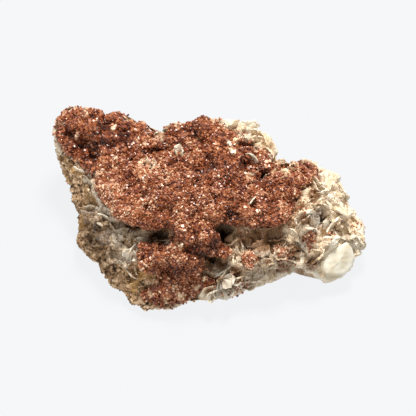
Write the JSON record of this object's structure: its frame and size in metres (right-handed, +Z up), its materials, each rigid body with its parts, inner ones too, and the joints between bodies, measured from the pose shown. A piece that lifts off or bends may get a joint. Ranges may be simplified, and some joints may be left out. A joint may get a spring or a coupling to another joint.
{
  "type": "vanadinite specimen",
  "caption": "Hand-sized lump of brown rock and cream bladed barite, flat underneath, crusted on top with a druse of small red-brown vanadinite crystals.",
  "frame": {"origin": "on the table, under the middle of the specimen", "axes": "+Z up out of the flat base, +X along the specimen's length towards the barite end, +Y towards the high back edge"},
  "size_m": [0.094, 0.062, 0.0314],
  "materials": {
    "host_rock": "rough, grainy, tan and brown with ochre grains",
    "barite": "satin, cream to pale tan, bladed with fine striations",
    "vanadinite": "glossy crystal faces, red-brown with orange-brown thin edges"
  },
  "bodies": {
    "root": {"host_rock": "host_rock", "barite_vein": "barite", "vanadinite_druse": "vanadinite", "vanadinite_front_tuft": "vanadinite", "vanadinite_lower_right_tuft": "vanadinite", "vanadinite_right_tuft": "vanadinite"}
  },
  "joints": []
}
